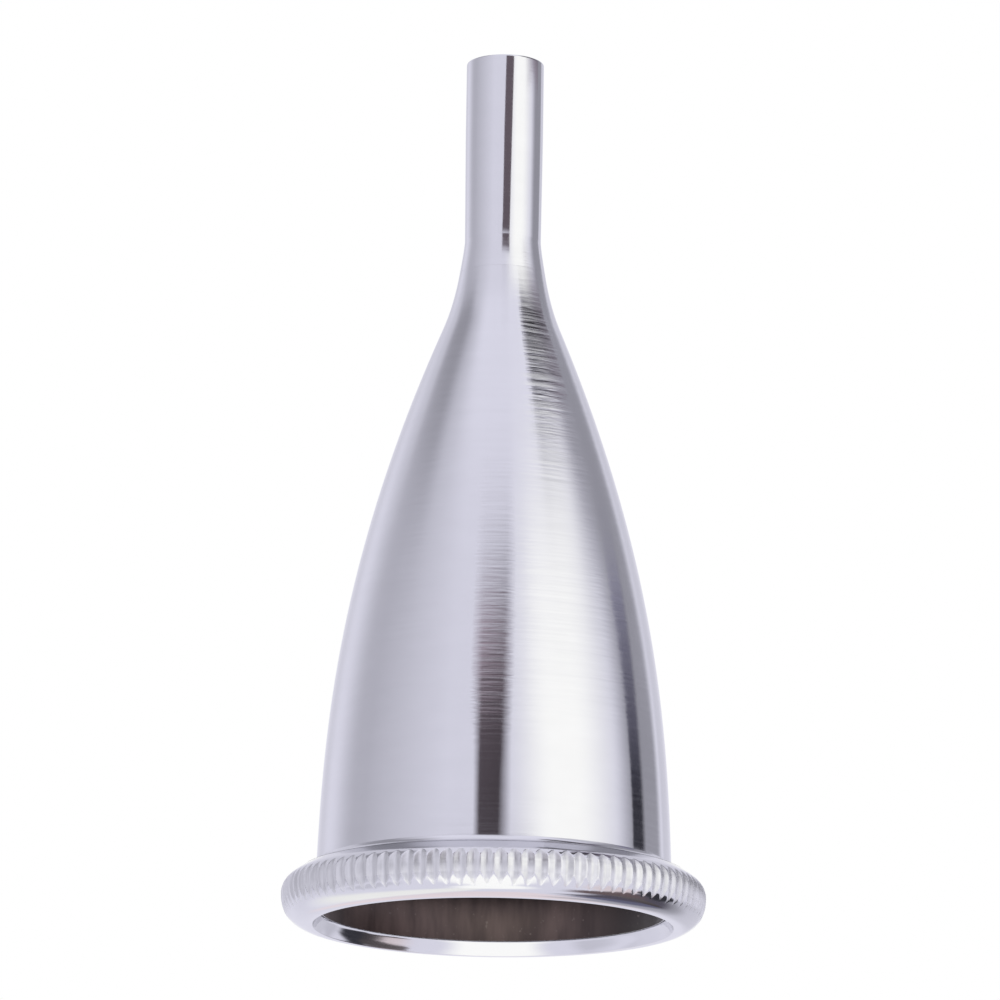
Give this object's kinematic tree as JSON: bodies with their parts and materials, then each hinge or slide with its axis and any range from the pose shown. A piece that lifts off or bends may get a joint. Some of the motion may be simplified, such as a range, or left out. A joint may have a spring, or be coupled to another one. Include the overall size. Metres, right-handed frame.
{
  "type": "ear speculum",
  "caption": "Metal ear speculum: slim ear tube flaring into a bell, with a knurled grip ring round its mouth.",
  "frame": {"origin": "centre of the mouth, on the plane that the lip rests on", "axes": "+Z along the instrument's axis, from the mouth to the ear tip; +X and +Y are any two square directions, since the shape is round"},
  "size_m": [0.0188, 0.0188, 0.04],
  "materials": {
    "polished_plate": "mirror-polished chrome plate",
    "satin_plate": "chrome plate over fine turning lines",
    "ring_plate": "polished chrome plate, straight knurl",
    "solder": "plated solder, polished flush"
  },
  "bodies": {
    "root": {"ear_tube": "polished_plate", "bell": "satin_plate", "neck_solder": "solder", "ring_solder": "solder", "knurled_ring": "ring_plate"}
  },
  "joints": []
}
